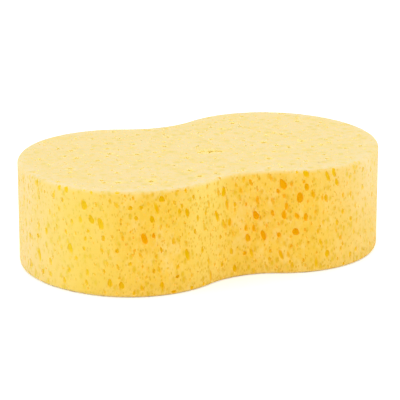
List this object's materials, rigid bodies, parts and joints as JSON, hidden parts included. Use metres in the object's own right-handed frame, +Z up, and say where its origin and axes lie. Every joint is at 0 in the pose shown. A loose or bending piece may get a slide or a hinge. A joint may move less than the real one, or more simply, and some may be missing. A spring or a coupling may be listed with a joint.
{
  "type": "cleaning sponge",
  "caption": "Figure-eight block of open-celled foam with flat faces and a pinched waist for the hand, used to wash and wipe large surfaces",
  "frame": {"origin": "middle of the underside, where the block rests on its wide face", "axes": "+X along the length, +Y across towards the side that the picture hides, +Z up through the thickness"},
  "size_m": [0.22, 0.135, 0.062],
  "materials": {
    "foam": "open-celled foam, matt"
  },
  "bodies": {
    "root": {"sponge": "foam"}
  },
  "joints": []
}
